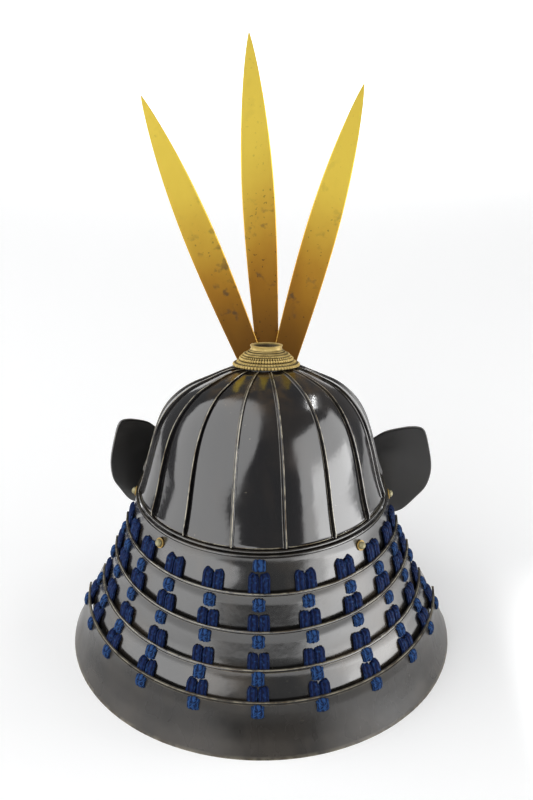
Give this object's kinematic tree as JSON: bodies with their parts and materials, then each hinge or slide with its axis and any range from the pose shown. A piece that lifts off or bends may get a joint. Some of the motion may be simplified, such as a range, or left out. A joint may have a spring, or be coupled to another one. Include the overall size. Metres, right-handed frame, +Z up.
{
  "type": "samurai helmet",
  "caption": "Ribbed iron helmet bowl with a laced, flared neck guard, small turned-back wings, brow peak, crown fitting and an upright gilded bladed crest.",
  "frame": {"origin": "middle of the footprint (bounding box) on the plane that the hem of the neck guard stands on", "axes": "+Z up, the wearer looks along -Y, +X is the wearer's left"},
  "size_m": [0.334, 0.3426, 0.5037],
  "materials": {
    "black_iron": "black lacquer on iron, semi-gloss, worn to brown and gold at the edges",
    "worn_gilt": "old gilding, yellow at the top, orange-brown and spotted below",
    "old_brass": "tarnished, worn bright on the edges",
    "blue_silk": "braided flat cord"
  },
  "bodies": {
    "root": {"bowl_plate_01": "black_iron", "bowl_plate_02": "black_iron", "bowl_plate_03": "black_iron", "bowl_plate_04": "black_iron", "bowl_plate_05": "black_iron", "bowl_plate_06": "black_iron", "bowl_plate_07": "black_iron", "bowl_plate_08": "black_iron", "bowl_plate_09": "black_iron", "bowl_plate_10": "black_iron", "bowl_plate_11": "black_iron", "bowl_plate_12": "black_iron", "bowl_plate_13": "black_iron", "bowl_plate_14": "black_iron", "bowl_plate_15": "black_iron", "bowl_plate_16": "black_iron", "waist_band": "black_iron", "neck_lame_1": "black_iron", "neck_lame_2": "black_iron", "neck_lame_3": "black_iron", "neck_lame_4": "black_iron", "neck_lame_5": "black_iron", "lace_01": "blue_silk", "lace_02": "blue_silk", "lace_03": "blue_silk", "lace_04": "blue_silk", "lace_05": "blue_silk", "lace_06": "blue_silk", "lace_07": "blue_silk", "lace_08": "blue_silk", "lace_09": "blue_silk", "lace_10": "blue_silk", "lace_11": "blue_silk", "lace_tie": "blue_silk", "rivet_1": "old_brass", "rivet_2": "old_brass", "rivet_3": "old_brass", "rivet_4": "old_brass", "crown_petal_ring": "old_brass", "crown_bead_ring": "old_brass", "crown_step_ring": "old_brass", "crown_collar": "old_brass", "peak": "black_iron", "crest_blade_left": "worn_gilt", "crest_blade_centre": "worn_gilt", "crest_blade_right": "worn_gilt", "crest_holder": "black_iron"}
  },
  "joints": []
}
